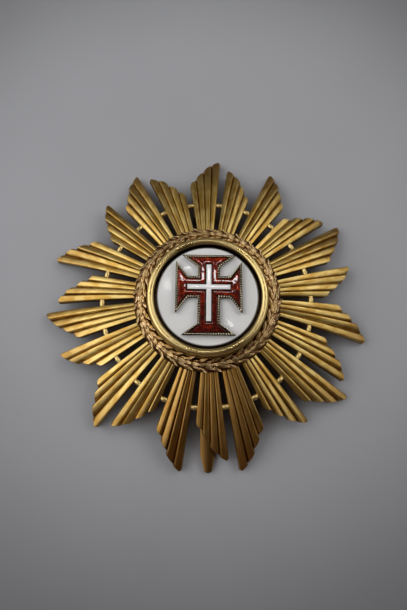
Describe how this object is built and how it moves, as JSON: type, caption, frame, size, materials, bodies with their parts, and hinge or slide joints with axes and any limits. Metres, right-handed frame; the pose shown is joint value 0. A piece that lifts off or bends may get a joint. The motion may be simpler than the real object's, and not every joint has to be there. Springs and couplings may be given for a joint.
{
  "type": "enamelled breast star with brooch pin",
  "caption": "Domed gilt breast star with fluted rays joined by stays, a laurel wreath, and a white enamel medallion under a raised red and white enamel cross.",
  "frame": {"origin": "on the star's axis, in the plane that the tips of its longest rays rest on", "axes": "+Z out of the star's face, +Y towards the top of the cross, +X to the viewer's right"},
  "size_m": [0.0822, 0.0831, 0.0135],
  "materials": {
    "gilt_rays": "gilt metal with fine grain along the ribs, browner in the grooves",
    "gilt_wreath": "cast pinkish gilt, dark brown in the recesses",
    "polished_gilt": "polished gilt",
    "white_enamel": "glossy opaque white enamel",
    "milled_metal": "dark gilt metal, finely milled along the border",
    "red_enamel": "glossy translucent red enamel over an engraved ground",
    "gilt_pin": "dull gilt, slightly tarnished"
  },
  "bodies": {
    "root": {"star_body": "gilt_rays", "laurel_wreath": "gilt_wreath", "bezel_ring": "polished_gilt", "white_disc": "white_enamel", "cross_frame": "milled_metal", "red_enamel": "red_enamel", "inner_cross": "white_enamel", "brooch_pin": "gilt_pin"}
  },
  "joints": []
}
